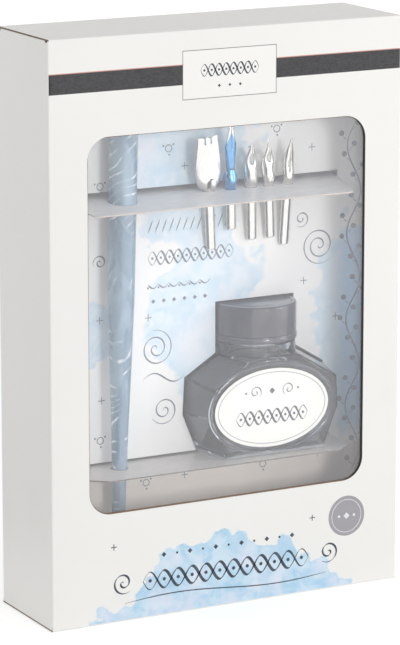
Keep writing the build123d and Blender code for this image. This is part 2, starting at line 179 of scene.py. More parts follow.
def add_floor():
    mesh = bpy.data.meshes.new("floor")
    r = floor_reach
    mesh.from_pydata([(-r, -r, 0), (r, -r, 0), (r, r, 0), (-r, r, 0)], [], [(0, 1, 2, 3)])
    floor = bpy.data.objects.new("floor", mesh)
    bpy.context.scene.collection.objects.link(floor)
    floor.location.z = cad_low.z
    material = bpy.data.materials.new("floor")
    material.use_nodes = True
    tree = material.node_tree
    tree.nodes.clear()
    paint = tree.nodes.new("ShaderNodeBsdfDiffuse")
    paint.inputs["Color"].default_value = (0.94, 0.94, 0.94, 1)
    glow = tree.nodes.new("ShaderNodeEmission")
    place = tree.nodes.new("ShaderNodeTexCoord")
    reach = tree.nodes.new("ShaderNodeVectorMath")
    reach.operation = "LENGTH"
    far = tree.nodes.new("ShaderNodeMapRange")
    far.inputs["From Min"].default_value, far.inputs["From Max"].default_value = floor_near, floor_far
    far.inputs["To Min"].default_value, far.inputs["To Max"].default_value = floor_lift
    lift = tree.nodes.new("ShaderNodeMath")
    lift.operation = "MULTIPLY"
    both = tree.nodes.new("ShaderNodeAddShader")
    under = tree.nodes.new("ShaderNodeNewGeometry")
    clear = tree.nodes.new("ShaderNodeBsdfTransparent")
    sides = tree.nodes.new("ShaderNodeMixShader")
    out = tree.nodes.new("ShaderNodeOutputMaterial")
    link = tree.links.new
    link(place.outputs["Object"], reach.inputs[0])
    link(reach.outputs["Value"], far.inputs["Value"])
    link(far.outputs["Result"], lift.inputs[0])
    link(seen_rays(tree), lift.inputs[1])
    link(lift.outputs[0], glow.inputs["Strength"])
    link(paint.outputs[0], both.inputs[0])
    link(glow.outputs[0], both.inputs[1])
    link(under.outputs["Backfacing"], sides.inputs[0])
    link(both.outputs[0], sides.inputs[1])
    link(clear.outputs[0], sides.inputs[2])
    link(sides.outputs[0], out.inputs["Surface"])
    floor.data.materials.append(material)


# ---- materials ----
def screen(red, green, blue):
    """A colour as a screen shows it, 0 to 255, as the linear values that shaders take."""
    def linear(level):
        level /= 255
        return level / 12.92 if level <= 0.04045 else ((level + 0.055) / 1.055) ** 2.4
    return (linear(red), linear(green), linear(blue), 1.0)


class Shade:
    """The nodes of one material, with a short method for each kind. Places are millimetres."""

    def __init__(self, name, **settings):
        self.material = bpy.data.materials.new(name)
        self.material.use_nodes = True
        self.tree = self.material.node_tree
        self.shader = self.tree.nodes["Principled BSDF"]
        for title, value in settings.items():
            self.set(title.replace("_", " ").title().replace("Ior", "IOR"), value)
        coordinates = self.node("ShaderNodeTexCoord")
        self.facing = coordinates.outputs["Normal"]
        self.place = self.scaled(coordinates.outputs["Object"], 1 / MM)
        self.x, self.y, self.z = self.parts(self.place)

    def feed(self, socket, value):
        if isinstance(value, bpy.types.NodeSocket):
            self.tree.links.new(value, socket)
        else:
            socket.default_value = value

    def set(self, title, value):
        self.feed(self.shader.inputs[title], value)

    def node(self, kind, inputs=(), **options):
        made = self.tree.nodes.new(kind)
        for option, value in options.items():
            setattr(made, option, value)
        for key, value in dict(inputs).items():
            self.feed(made.inputs[key], value)
        return made

    def math(self, operation, *values, clamp=False):
        made = self.node("ShaderNodeMath", enumerate(values), operation=operation)
        made.use_clamp = clamp
        return made.outputs[0]

    def sum(self, *values):
        total = values[0]
        for value in values[1:]:
            total = self.math("ADD", total, value)
        return total

    def product(self, *values):
        total = values[0]
        for value in values[1:]:
            total = self.math("MULTIPLY", total, value)
        return total

    def without(self, mask):
        return self.math("SUBTRACT", 1.0, mask)

    def scaled(self, vector, scale):
        return self.node("ShaderNodeVectorMath", {0: vector, 3: scale}, operation="SCALE").outputs[0]

    def stretched(self, vector, scales):
        return self.node("ShaderNodeVectorMath", {0: vector, 1: scales}, operation="MULTIPLY").outputs[0]

    def moved(self, vector, shift):
        return self.node("ShaderNodeVectorMath", {0: vector, 1: shift}, operation="ADD").outputs[0]

    def along(self, vector, direction):
        """How far a vector reaches along a direction."""
        return self.node("ShaderNodeVectorMath", {0: vector, 1: direction}, operation="DOT_PRODUCT").outputs[1]

    def parts(self, vector):
        return self.node("ShaderNodeSeparateXYZ", {0: vector}).outputs[:]

    def rise(self, value, low, high, start=0.0, end=1.0):
        """Goes smoothly from start to end while value goes from low to high."""
        values = {0: value, 1: low, 2: high, 3: start, 4: end}
        return self.node("ShaderNodeMapRange", values, interpolation_type="SMOOTHSTEP").outputs[0]

    def between(self, value, low, high, soft):
        up = self.rise(value, low - soft, low + soft)
        return self.product(up, self.rise(value, high - soft, high + soft, 1.0, 0.0))

    def rectangle(self, x0, x1, z0, z1, soft=0.06):
        return self.product(self.between(self.x, x0, x1, soft), self.between(self.z, z0, z1, soft))

    def distance(self, x, z, stretch=1.0):
        """Distance to a point of the front, with heights stretched."""
        across = self.math("SUBTRACT", self.x, x)
        above = self.product(self.math("SUBTRACT", self.z, z), stretch)
        return self.math("SQRT", self.sum(self.math("POWER", across, 2.0), self.math("POWER", above, 2.0)))

    def noise(self, size, detail=2.0, roughness=0.5, distortion=0.0, vector=None):
        """Noise from 0 to 1 whose features are about size millimetres."""
        values = {"Vector": vector or self.place, "Scale": 1 / size, "Detail": detail,
                  "Roughness": roughness, "Distortion": distortion}
        return self.node("ShaderNodeTexNoise", values).outputs[0]

    def mix(self, mask, first, second):
        values = {0: mask, 6: first, 7: second}
        return self.node("ShaderNodeMix", values, data_type="RGBA").outputs[2]

    def bump(self, height, depth):
        """Raises the surface by up to depth millimetres where height is 1."""
        made = self.node("ShaderNodeBump", {"Height": height, "Distance": depth * MM, "Strength": 1.0})
        if self.shader.inputs["Normal"].is_linked:
            self.feed(made.inputs["Normal"], self.shader.inputs["Normal"].links[0].from_socket)
        self.set("Normal", made.outputs[0])

    def paper_grain(self, roughness, spread=0.08, depth=0.012):
        """The faint unevenness of coated board: in its gloss and in its surface."""
        blotches = self.noise(2.6, 3.0)
        self.set("Roughness", self.rise(blotches, 0.3, 0.7, roughness - spread, roughness + spread))
        self.bump(self.noise(0.35, 3.0, 0.6), depth)


carton_white = screen(242, 241, 238)
carton_shade = screen(237, 236, 233)
raw_board = screen(150, 126, 104)
raw_board_dark = screen(92, 74, 60)
inner_board = screen(214, 211, 205)


def coated_board(name, raw, outward):
    """Carton board: white coating outside, uncoated inside, raw brown where it is cut."""
    shade = Shade(name, specular_ior_level=0.42)
    white = shade.mix(shade.noise(38.0, 2.0), carton_white, carton_shade)
    fibres = shade.noise(0.5, 4.0, 0.7, vector=shade.stretched(shade.place, (0.35, 1.0, 1.6)))
    inside = shade.mix(fibres, inner_board, carton_shade)
    turned = shade.along(shade.facing, outward)
    colour = shade.mix(shade.rise(turned, -0.6, -0.4), inside, white)
    core = shade.mix(shade.noise(0.22, 4.0, 0.7), raw_board_dark, raw_board)
    colour = shade.mix(raw(shade), colour, core)
    shade.paper_grain(0.46)
    return shade, colour


def edge_facing(shade, direction):
    """1 where the surface looks along a direction or against it."""
    turned = shade.math("ABSOLUTE", shade.along(shade.facing, direction))
    return shade.rise(turned, 0.55, 0.7)


def cut_all_round(direction, fold_x=1e3):
    """The rim of a flap that lies square to a direction, apart from its fold at fold_x."""
    def raw(shade):
        rim = shade.without(edge_facing(shade, direction))
        away = shade.math("LESS_THAN", shade.math("ABSOLUTE", shade.x), fold_x)
        return shade.product(rim, away)
    return raw


# prints on the front, as (left, right, bottom, top) or (x, z, radius)
band = (-66.75, 66.45, 181.8, 188.4)
# x from which the band is painted near black over the fold: a painted shade in the crease
band_fold_end = -66.1
label_panel = (-17.7, 18.0, 176.7, 193.2)
label_line = 0.22
disc = (46.8, 25.4, 7.2)
wash_middle = -2.5
wash_half_width = 51.0
wash_height = 26.0
band_dark = screen(44, 43, 46)
band_light = screen(66, 65, 67)
band_edge = screen(205, 150, 140)
line_grey = screen(96, 96, 98)
disc_grey = screen(157, 155, 161)
wash_blue = screen(204, 227, 243)
wash_deep = screen(160, 206, 234)
wash_lilac = screen(226, 229, 244)


def watercolour(shade, field, colour, strength=1.0):
    """Paints a wash where field is above 0: uneven pigment, and a darker line at its edge."""
    wet = shade.rise(field, 0.0, 1.3)
    pool = shade.noise(7.0, 5.0, 0.62, 0.6)
    pigment = shade.mix(shade.rise(pool, 0.36, 0.66), wash_blue, wash_deep)
    pale = shade.rise(shade.noise(11.0, 3.0, 0.5, vector=shade.moved(shade.place, (31, 7, 5))), 0.44, 0.72)
    pigment = shade.mix(shade.product(pale, 0.75), pigment, wash_lilac)
    rim = shade.product(wet, shade.rise(field, 0.6, 2.4, 0.30, 0.0))
    pigment = shade.mix(rim, pigment, wash_deep)
    granules = shade.rise(shade.noise(0.45, 3.0, 0.7), 0.3, 0.7, 0.78, 1.0)
    return shade.mix(shade.product(wet, granules, strength), colour, pigment)


def front_board():
    def window_rim(shade):
        rim = shade.without(edge_facing(shade, (0, 1, 0)))
        return shade.product(rim, shade.math("LESS_THAN", shade.math("ABSOLUTE", shade.x), 60.0))

    shade, colour = coated_board("front_board", window_rim, (0, -1, 0))
    plain = colour
    across = shade.product(shade.math("SUBTRACT", shade.x, wash_middle), 1 / wash_half_width)
    hill = shade.product(shade.without(shade.math("POWER", shade.math("ABSOLUTE", across), 1.7)), wash_height)
    lumps = shade.product(shade.math("SUBTRACT", shade.noise(13.0, 2.0, 0.5), 0.5), 24.0)
    frills = shade.product(shade.math("SUBTRACT", shade.noise(3.2, 4.0, 0.62), 0.5), 6.0)
    field = shade.sum(shade.math("SUBTRACT", hill, shade.z), lumps, frills)
    colour = watercolour(shade, field, colour)
    weave = shade.noise(0.5, 3.0, 0.7, vector=shade.stretched(shade.place, (0.5, 1, 1.6)))
    dark = shade.mix(shade.rise(weave, 0.35, 0.65), band_dark, band_light)
    # over the fold the band is painted near black: a painted shade in the crease
    dark = shade.mix(shade.math("LESS_THAN", shade.x, band_fold_end), dark, screen(18, 18, 18))
    left, right, low, high = band
    colour = shade.mix(shade.rectangle(left, right, high - 0.1, high + 0.3), colour, band_edge)
    colour = shade.mix(shade.rectangle(left, right, low, high), colour, dark)
    left, right, low, high = label_panel
    colour = shade.mix(shade.rectangle(left, right, low, high), colour, line_grey)
    t = label_line
    colour = shade.mix(shade.rectangle(left + t, right - t, low + t, high - t), colour, carton_white)
    x, z, radius = disc
    round_mask = shade.rise(shade.distance(x, z), radius - 0.06, radius + 0.06, 1.0, 0.0)
    speckle = shade.mix(shade.noise(0.6, 3.0), disc_grey, screen(166, 164, 169))
    colour = shade.mix(round_mask, colour, speckle)
    front = shade.rise(shade.along(shade.facing, (0, -1, 0)), 0.5, 0.7)
    shade.set("Base Color", shade.mix(front, plain, colour))
    return shade.material


def plain_board(name, raw, outward):
    shade, colour = coated_board(name, raw, outward)
    shade.set("Base Color", colour)
    return shade.material


def film():
    """Clear plastic film, slightly milky: light passes, and a little more comes off its faces."""
    shade = Shade("window_film", roughness=0.1, ior=1.45, specular_ior_level=0.35)
    streaks = shade.noise(9.0, 3.0, 0.5, 0.8, shade.stretched(shade.place, (1.0, 1.0, 0.25)))
    haze = shade.rise(streaks, 0.3, 0.7, 0.85, 1.0)
    shade.set("Base Color", shade.mix(haze, (0, 0, 0, 1), (0.076, 0.077, 0.082, 1)))
    glancing = shade.node("ShaderNodeLayerWeight", {"Blend": 0.5}).outputs["Facing"]
    mirrored = shade.math("POWER", glancing, 5.0)
    passed = shade.mix(mirrored, (0.985, 0.985, 0.985, 1), (0, 0, 0, 1))
    clear = shade.node("ShaderNodeBsdfTransparent", {"Color": passed})
    both = shade.node("ShaderNodeAddShader", {0: clear.outputs[0], 1: shade.shader.outputs[0]})
    shade.feed(shade.tree.nodes["Material Output"].inputs["Surface"], both.outputs[0])
    return shade.material


paper_white = screen(244, 243, 240)
# washes on the backdrop: x, height, half width, half height
backdrop_washes = [(-4, 150, 26, 34), (2, 100, 24, 30), (60, 88, 17, 38), (-42, 95, 14, 13)]


def backdrop_board():
    shade = Shade("backdrop_board", specular_ior_level=0.3)
    colour = shade.mix(shade.noise(30.0, 2.0), paper_white, screen(238, 238, 238))
    nearest = None
    for x, z, wide, high in backdrop_washes:
        reach = shade.without(shade.product(shade.distance(x, z, wide / high), 1 / wide))
        nearest = reach if nearest is None else shade.math("MAXIMUM", nearest, reach)
    lumps = shade.product(shade.math("SUBTRACT", shade.noise(14.0, 3.0, 0.55), 0.5), 1.6)
    field = shade.product(shade.sum(nearest, lumps), 9.0)
    # below the lower shelf the paper is painted warmer and a little darker: a painted shade with warm bounce
    # from the shelf's underside
    colour = shade.mix(shade.rise(shade.z, 52, 40), colour, screen(236, 228, 219))
    colour = watercolour(shade, field, colour, 0.62)
    # darker towards the right bend: a painted shade where the front wall shades the bend
    painted_bend_shade = shade.product(shade.rise(shade.x, 53.0, 62.0), 0.26)
    colour = shade.mix(painted_bend_shade, colour, screen(112, 110, 106))
    ragged = shade.sum(shade.z, shade.product(shade.noise(9.0, 3.0), 8.0))
    stain = shade.product(shade.rise(shade.x, 52.0, 60.0), shade.between(ragged, 56.0, 127.0, 1.5), 0.58)
    colour = shade.mix(stain, colour, screen(150, 199, 240))
    # darker still at the outermost right edge: a painted shade deep in the bend
    rim = shade.product(shade.rise(shade.x, 59.6, 62.8), 0.45)
    shade.set("Base Color", shade.mix(rim, colour, screen(84, 80, 76)))
    shade.paper_grain(0.6)
    return shade.material


def shelf_board():
    """Grey board with a dull metallic print, its cut edges pale brown. Board and cut edge are painted darker
    and warmer lower down: a painted shade on the lower shelf.
    """
    shade = Shade("shelf_board", specular_ior_level=0.5)
    # the lower shelf is painted darker and warmer than the upper one: a painted shade
    cool, lower_painted_shade = screen(244, 245, 247), screen(218, 213, 207)
    colour = shade.mix(shade.rise(shade.z, 60, 130), lower_painted_shade, cool)
    grain = shade.noise(1.4, 4.0, 0.6, vector=shade.stretched(shade.place, (0.3, 1, 1)))
    colour = shade.mix(shade.rise(grain, 0.2, 0.8, 0.0, 0.35), colour, screen(176, 176, 178))
    rim = shade.without(shade.math("MAXIMUM", edge_facing(shade, (0, 0, 1)), edge_facing(shade, (0, 1, 0.1))))
    front = shade.product(edge_facing(shade, (0, 1, 0.1)), shade.math("LESS_THAN", shade.y, 0.0))
    # the lower shelf's cut edge is painted much darker: a painted shade
    cut = shade.mix(shade.rise(shade.z, 60, 130), screen(104, 94, 88), screen(196, 182, 174))
    colour = shade.mix(shade.math("MAXIMUM", rim, front), colour, cut)
    under = shade.rise(shade.along(shade.facing, (0, 0, -1)), 0.5, 0.7)
    raw = shade.mix(shade.noise(0.5, 4.0, 0.7), screen(142, 118, 96), screen(168, 146, 124))
    shade.set("Base Color", shade.mix(under, colour, raw))
    shade.paper_grain(0.36, 0.06)
    return shade.material


def marbled_barrel():
    """Pearl lacquer: drifts of grey blue, combed through with a few soft white strokes."""
    shade = Shade("marbled_barrel", specular_ior_level=0.5, coat_weight=0.6, coat_roughness=0.06)
    drift = shade.noise(9.0, 3.0, 0.55, 1.2, shade.stretched(shade.place, (1.0, 1.0, 0.35)))
    colour = shade.mix(shade.rise(drift, 0.3, 0.7), screen(104, 130, 154), screen(150, 173, 190))
    warp = shade.product(shade.noise(16.0, 1.0, 0.4), 22.0)
    slant = shade.sum(shade.along(shade.place, (-0.75, 0.3, 1.0)), warp)
    wander = shade.product(shade.noise(4.0, 2.0), 1.2)
    comb = shade.math("PINGPONG", shade.product(shade.sum(slant, wander), 0.27), 0.5)
    threads = shade.rise(comb, 0.02, 0.15, 1.0, 0.0)
    cells = shade.stretched(shade.moved(shade.place, (3, 11, 40)), (1.0, 1.0, 0.5))
    patches = shade.rise(shade.noise(7.5, 1.0, vector=cells), 0.48, 0.60)
    broken = shade.rise(shade.noise(3.0, 2.0), 0.34, 0.62, 0.25, 1.0)
    colour = shade.mix(shade.product(threads, patches, broken, 0.9), colour, screen(232, 239, 244))
    shade.set("Base Color", colour)
    shade.set("Roughness", shade.rise(drift, 0.3, 0.7, 0.22, 0.34))
    return shade.material


def steel(name, colour, tint, roughness=0.2):
    shade = Shade(name, metallic=1.0)
    brushed = shade.noise(0.25, 3.0, 0.6, vector=shade.stretched(shade.place, (1.0, 1.0, 0.08)))
    shade.set("Base Color", shade.mix(shade.rise(brushed, 0.3, 0.7), colour, tint))
    shade.set("Roughness", shade.rise(brushed, 0.3, 0.7, roughness - 0.05, roughness + 0.08))
    return shade.material


blued_from = -0.4                         # height above the shelf where the bluing starts


def blued_steel():
    """Blued at the working end, plain at the shank and where the point was ground."""
    shade = Shade("blued_steel", metallic=1.0)
    place = nib_place("nib_diamond")
    local = shade.moved(shade.place, tuple(-place.translation))
    across = shade.math("ABSOLUTE", shade.along(local, tuple(place.to_3x3().col[0])))
    height = shade.along(local, tuple(place.to_3x3().col[2]))
    brushed = shade.noise(0.25, 3.0, 0.6, vector=shade.stretched(shade.place, (1.0, 1.0, 0.08)))
    blue = shade.mix(shade.rise(brushed, 0.3, 0.7), screen(98, 166, 218), screen(84, 150, 206))
    plain = shade.mix(shade.rise(brushed, 0.3, 0.7), screen(228, 225, 219), screen(216, 214, 209))
    # the ground point: a chevron that widens towards the tip
    chevron = shade.math("SUBTRACT", shade.sum(height, shade.product(across, 2.4)), 20.8)
    ground = shade.product(shade.rise(chevron, -0.15, 0.15), shade.rise(height, 16.4, 16.6))
    blued = shade.product(shade.rise(height, blued_from - 0.3, blued_from + 0.3), shade.without(ground))
    shade.set("Base Color", shade.mix(blued, plain, blue))
    shade.set("Roughness", shade.rise(brushed, 0.3, 0.7, 0.14, 0.24))
    return shade.material


def glass():
    shade = Shade("bottle_glass", transmission_weight=1.0, ior=1.5)
    waves = shade.noise(6.0, 2.0, 0.5)
    shade.set("Base Color", shade.mix(waves, screen(205, 210, 216), screen(222, 226, 230)))
    shade.set("Roughness", shade.rise(waves, 0.3, 0.7, 0.01, 0.04))
    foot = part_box("bottle_glass")[0].z / MM
    ripple = shade.product(shade.noise(5.0, 2.0), 1.6)
    # the heel is made partly diffuse so that it reads lighter: a painted light standing in for light seen
    # through the clear glass base
    painted_heel_light = shade.rise(shade.sum(shade.z, ripple), foot + 1.3, foot + 2.8, 0.55, 0.0)
    shade.set("Transmission Weight", shade.without(painted_heel_light))
    return shade.material


def ink():
    shade = Shade("ink", ior=1.36)
    swirl = shade.noise(5.0, 3.0)
    colour = shade.mix(swirl, screen(14, 14, 20), screen(30, 30, 40))
    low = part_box("ink_fill")[0].z / MM
    # lighter towards the ink's foot: a painted lighter band standing in for light through the glass base
    thin = shade.rise(shade.sum(shade.z, shade.product(swirl, -3.0)), low - 1.5, low + 1.0, 0.7, 0.0)
    shade.set("Base Color", shade.mix(thin, colour, screen(120, 124, 132)))
    shade.set("Roughness", shade.rise(swirl, 0.3, 0.7, 0.08, 0.16))
    return shade.material


def label_paper():
    shade = Shade("label_paper", specular_ior_level=0.4)
    shade.set("Base Color", shade.mix(shade.noise(4.0, 3.0), screen(237, 236, 231), screen(232, 231, 226)))
    shade.paper_grain(0.55)
    return shade.material


def cap_plastic():
    shade = Shade("cap_plastic", specular_ior_level=0.6)
    cloud = shade.noise(9.0, 2.0)
    colour = shade.mix(cloud, screen(64, 64, 70), screen(72, 72, 78))
    # faces looking up are painted lighter blue grey: a painted sheen of light from above
    top = shade.rise(shade.along(shade.facing, (0, 0, 1)), 0.8, 0.95)
    shade.set("Base Color", shade.mix(top, colour, screen(128, 136, 148)))
    shade.set("Roughness", shade.rise(shade.noise(0.7, 2.0), 0.3, 0.7, 0.13, 0.2))
    shade.bump(shade.noise(0.25, 2.0), 0.002)
    return shade.material


def seal_foam():
    shade = Shade("seal_foam", roughness=0.9)
    cells = shade.noise(0.4, 3.0, 0.7)
    shade.set("Base Color", shade.mix(cells, screen(206, 206, 202), screen(232, 232, 228)))
    shade.bump(cells, 0.05)
    return shade.material


def dress_nodes():
    """Gives each CAD piece its material."""
    up, front, side = (0, 0, 1), (0, 1, 0), (1, 0, 0)
    top_cut = cut_top
    materials = {
        "front_panel": front_board(),
        "back_panel": plain_board("back_board", top_cut, (0, 1, 0)),
        "left_panel": plain_board("left_board", top_cut, (-1, 0, 0)),
        "right_panel": plain_board("right_board", top_cut, (1, 0, 0)),
        "glue_flap": plain_board("seam_board", cut_all_round(side), (1, 0, 0)),
        "lid_panel": plain_board("lid_board", lambda shade: edge_facing(shade, side), (0, 0, 1)),
        "tuck_flap": plain_board("tuck_board", cut_all_round(front), (0, 1, 0)),
        "window_film": film(),
        "backdrop_liner": backdrop_board(),
        "shelf_card": shelf_board(),
        "pen_holder": marbled_barrel(),
        "bottle_glass": glass(),
        "ink_fill": ink(),
        "bottle_label": label_paper(),
        "cap_seal": seal_foam(),
    }
    for side_name, fold in (("left", 66.9), ("right", 66.9)):
        materials["dust_flap_" + side_name] = plain_board(
            "dust_board_" + side_name, cut_all_round(up, fold), (0, 0, 1))
    bottom = plain_board("bottom_board", cut_all_round(up, 66.9), (0, 0, -1))
    for name in ("bottom_flap_left", "bottom_flap_right", "bottom_flap_back"):
        materials[name] = bottom
    materials["bottom_flap_front"] = plain_board(
        "foot_board", lambda shade: edge_facing(shade, side), (0, 0, -1))
    metal = steel("ferrule_metal", screen(215, 215, 218), screen(196, 196, 200), 0.16)
    for name in ("nib_ferrule", "nib_prongs"):
        materials[name] = metal
    for name, material in materials.items():
        slots = nodes[name].data.materials
        slots.clear()
        slots.append(material)


def cut_top(shade):
    return edge_facing(shade, (0, 0, 1))


# ---- smooth shading of the curved CAD pieces ----
weld_distance = 0.002                     # millimetres
round_angle = 28.0                        # degrees between faces that still count as round
facet_angle = 16.0                        # the same on the bottle, whose facets stay crisp


def smoothing(angle):
    """Modifier nodes that join a piece's faces and shade them smooth, up to an angle."""
    group = bpy.data.node_groups.new("smoothing", "GeometryNodeTree")
    group.interface.new_socket("Geometry", in_out="INPUT", socket_type="NodeSocketGeometry")
    group.interface.new_socket("Geometry", in_out="OUTPUT", socket_type="NodeSocketGeometry")
    start = group.nodes.new("NodeGroupInput")
    end = group.nodes.new("NodeGroupOutput")
    weld = group.nodes.new("GeometryNodeMergeByDistance")
    weld.inputs["Distance"].default_value = weld_distance * MM
    faces = group.nodes.new("GeometryNodeSetShadeSmooth")
    faces.domain = "FACE"
    edges = group.nodes.new("GeometryNodeSetShadeSmooth")
    edges.domain = "EDGE"
    edges.inputs["Shade Smooth"].default_value = False
    turn = group.nodes.new("GeometryNodeInputMeshEdgeAngle")
    sharp = group.nodes.new("FunctionNodeCompare")
    sharp.operation = "GREATER_THAN"
    sharp.inputs[1].default_value = radians(angle)
    link = group.links.new
    link(start.outputs[0], weld.inputs["Geometry"])
    link(weld.outputs[0], faces.inputs["Geometry"])
    link(faces.outputs[0], edges.inputs["Geometry"])
    link(turn.outputs["Unsigned Angle"], sharp.inputs[0])
    link(sharp.outputs[0], edges.inputs["Selection"])
    link(edges.outputs[0], end.inputs[0])
    return group


def smooth_nodes():
    groups = {angle: smoothing(angle) for angle in (round_angle, facet_angle)}
    for name, node in nodes.items():
        angle = facet_angle if name in ("bottle_glass", "ink_fill") else round_angle
        node.modifiers.new("smoothing", "NODES").node_group = groups[angle]


# ---- pieces made here: thin sheets, pen strokes and turned forms ----
def add_piece(name, points, faces, material, body, angle=round_angle):
    """A closed mesh from points in millimetres, shaded smooth up to an angle."""
    mesh = bpy.data.meshes.new(name)
    mesh.from_pydata([Vector(point) * MM for point in points], [], faces)
    work = bmesh.new()
    work.from_mesh(mesh)
    bmesh.ops.recalc_face_normals(work, faces=work.faces)
    work.to_mesh(mesh)
    work.free()
    mesh.shade_smooth()
    mesh.set_sharp_from_angle(angle=radians(angle))
    mesh.materials.append(material)
    piece = bpy.data.objects.new(name, mesh)
    bpy.context.scene.collection.objects.link(piece)
    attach(piece, body)
    return piece


rim_rounding = 0.09                       # how far a sheet's rims fall back on each side


def within(point, loop):
    """Whether a flat point lies inside a closed loop."""
    x, y = point
    odd = False
    for (x0, y0), (x1, y1) in zip(loop, loop[1:] + loop[:1]):
        if (y0 > y) != (y1 > y) and x < (x1 - x0) * (y - y0) / (y1 - y0) + x0:
            odd = not odd
    return odd


def bent_sheet(outline, cuts, step, thickness, bend):
    """Points and faces of a sheet: a flat outline less its cuts, filled with triangles about
    step wide, then bent by bend(across, up, depth). Its rims are rounded over."""
    flat, edges = [], []
    for loop in [outline] + cuts:
        first = len(flat)
        flat += loop
        edges += [(first + i, first + (i + 1) % len(loop)) for i in range(len(loop))]
    xs, ys = zip(*outline)
    rims = list(flat)
    for row in range(1, int((max(ys) - min(ys)) / step)):
        y = min(ys) + row * step
        for column in range(int((max(xs) - min(xs)) / step) + 1):
            x = min(xs) + (column + row % 2 / 2) * step
            clear = min(hypot(x - rx, y - ry) for rx, ry in rims) > 0.5 * step
            if clear and within((x, y), outline) and not any(within((x, y), cut) for cut in cuts):
                flat.append((x, y))
    made = delaunay_2d_cdt([Vector(point) for point in flat], edges, [], 0, 1e-5)
    flat = [tuple(point) for point in made[0]]
    triangles = []
    for corners in made[2]:
        middle = [sum(flat[i][axis] for i in corners) / 3 for axis in (0, 1)]
        if within(middle, outline) and not any(within(middle, cut) for cut in cuts):
            triangles.append(tuple(corners))
    count = len(flat)
    sides = {edge for a, b, c in triangles for edge in ((a, b), (b, c), (c, a))}
    rim = [(a, b) for a, b in sides if (b, a) not in sides]
    rimmed = {i for edge in rim for i in edge}
    points = []
    for depth, rounding in ((0, rim_rounding), (thickness, -rim_rounding)):
        points += [bend(x, y, depth + rounding * (i in rimmed)) for i, (x, y) in enumerate(flat)]
    faces = triangles + [tuple(i + count for i in reversed(t)) for t in triangles]
    faces += [(b, a, a + count, b + count) for a, b in rim]
    used = sorted({i for face in faces for i in face})
    order = {old: new for new, old in enumerate(used)}
    return [points[i] for i in used], [tuple(order[i] for i in face) for face in faces]


def glide(rows, at, column):
    """Reads a column of a table, whose first column is the place, along smooth curves."""
    at = min(max(at, rows[0][0]), rows[-1][0])
    low = max(i for i in range(len(rows) - 1) if rows[i][0] <= at)

    def rate(i):
        return (rows[i + 1][column] - rows[i][column]) / (rows[i + 1][0] - rows[i][0])

    def slope(i):
        if i in (0, len(rows) - 1):
            return rate(min(i, len(rows) - 2))
        before, after = rate(i - 1), rate(i)
        return 2 * before * after / (before + after) if before * after > 0 else 0.0

    width = rows[low + 1][0] - rows[low][0]
    t = (at - rows[low][0]) / width
    first, last = rows[low][column], rows[low + 1][column]
    lead = (first, slope(low) * width, last, slope(low + 1) * width)
    shares = (2 * t ** 3 - 3 * t ** 2 + 1, t ** 3 - 2 * t ** 2 + t, 3 * t ** 2 - 2 * t ** 3, t ** 3 - t ** 2)
    return sum(value * share for value, share in zip(lead, shares))


# ---- nibs, pressed from thin steel: the sizes repeat those of the CAD source ----
nib_sheet = 0.3
nib_tilt = 8.0                            # degrees, tips lean towards the window
nib_crown_y = -4.0
shelf_droop = 6.0
shelf_front_y, shelf_front_z = -18.9, 140.1
slit = 0.12
belly, belly_at, belly_reach = 0.85, 2.2, 3.6
mesh_step = 0.36
shank = (2.05, 1.4)
